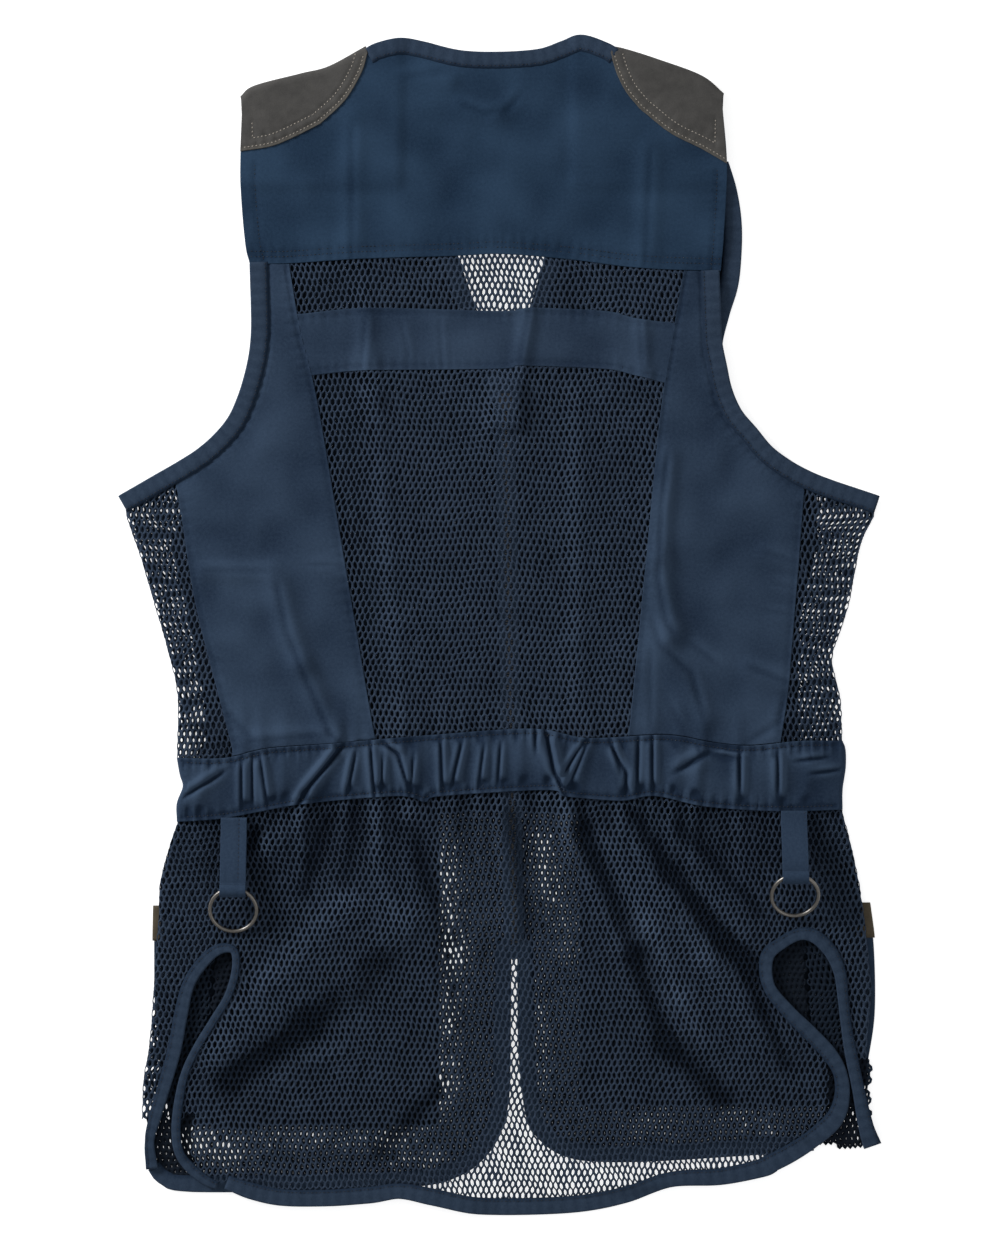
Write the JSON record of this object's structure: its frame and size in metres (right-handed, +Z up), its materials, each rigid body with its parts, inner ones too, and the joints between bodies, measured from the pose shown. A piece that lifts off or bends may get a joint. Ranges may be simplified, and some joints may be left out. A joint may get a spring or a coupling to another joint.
{
  "type": "shooting vest",
  "caption": "Sleeveless shooting vest laid flat back side up, with cotton panels, open net, gathered waist, suede shoulder patches and a ring strap at each side.",
  "frame": {"origin": "centre of the vest's box, on the table that it lies on", "axes": "+Y up the vest to the neck, +Z up from the table through the front layer to the back layer, +X to the right as one looks down on the back"},
  "size_m": [0.499, 0.772, 0.0278],
  "materials": {
    "cotton": "fine twill cotton, matt",
    "net": "open knitted net, matt",
    "grey_suede": "napped suede",
    "tan_suede": "napped suede",
    "gunmetal": "dark plated steel, half gloss",
    "zip": "zip tape with metal teeth"
  },
  "bodies": {
    "vest": {"armhole_binding_left": "cotton", "armhole_binding_right": "cotton", "back_band": "cotton", "back_center_net": "net", "back_panel_left": "cotton", "back_panel_right": "cotton", "back_upper_net": "net", "back_yoke": "cotton", "front_armhole_binding_left": "cotton", "front_armhole_binding_right": "cotton", "front_hem_binding_left": "cotton", "front_hem_binding_right": "cotton", "front_left": "cotton", "front_neck_binding_left": "cotton", "front_neck_binding_right": "cotton", "front_net_left": "net", "front_net_right": "net", "front_right": "cotton", "hem_binding": "cotton", "lower_back_net": "net", "neck_binding": "cotton", "pocket_left": "cotton", "pocket_right": "cotton", "pocket_trim_left": "tan_suede", "pocket_trim_right": "tan_suede", "ring_strap_left": "cotton", "ring_strap_right": "cotton", "shoulder_patch_left": "grey_suede", "shoulder_patch_right": "grey_suede", "side_net_left": "net", "side_net_right": "net", "vent_binding_left": "cotton", "vent_binding_right": "cotton", "waistband": "cotton", "zip": "zip", "zip_bail": "gunmetal", "zip_slider": "gunmetal"},
    "left_ring": {"ring_left": "gunmetal"},
    "right_ring": {"ring_right": "gunmetal"},
    "pull_tab": {"zip_pull": "gunmetal"}
  },
  "joints": [
    {"name": "left_ring_swing", "type": "hinge", "parent": "vest", "child": "left_ring", "pos_m": [-0.17352, -0.17243, 0.01853], "axis": [-1, 0, 0], "range_deg": [0, 150]},
    {"name": "right_ring_swing", "type": "hinge", "parent": "vest", "child": "right_ring", "pos_m": [0.19198, -0.16343, 0.02333], "axis": [-1, 0, 0], "range_deg": [0, 150]},
    {"name": "pull_tab_swing", "type": "hinge", "parent": "vest", "child": "pull_tab", "pos_m": [0.00348, 0.14657, 0.0022], "axis": [1, 0, 0], "range_deg": [0, 170]}
  ]
}
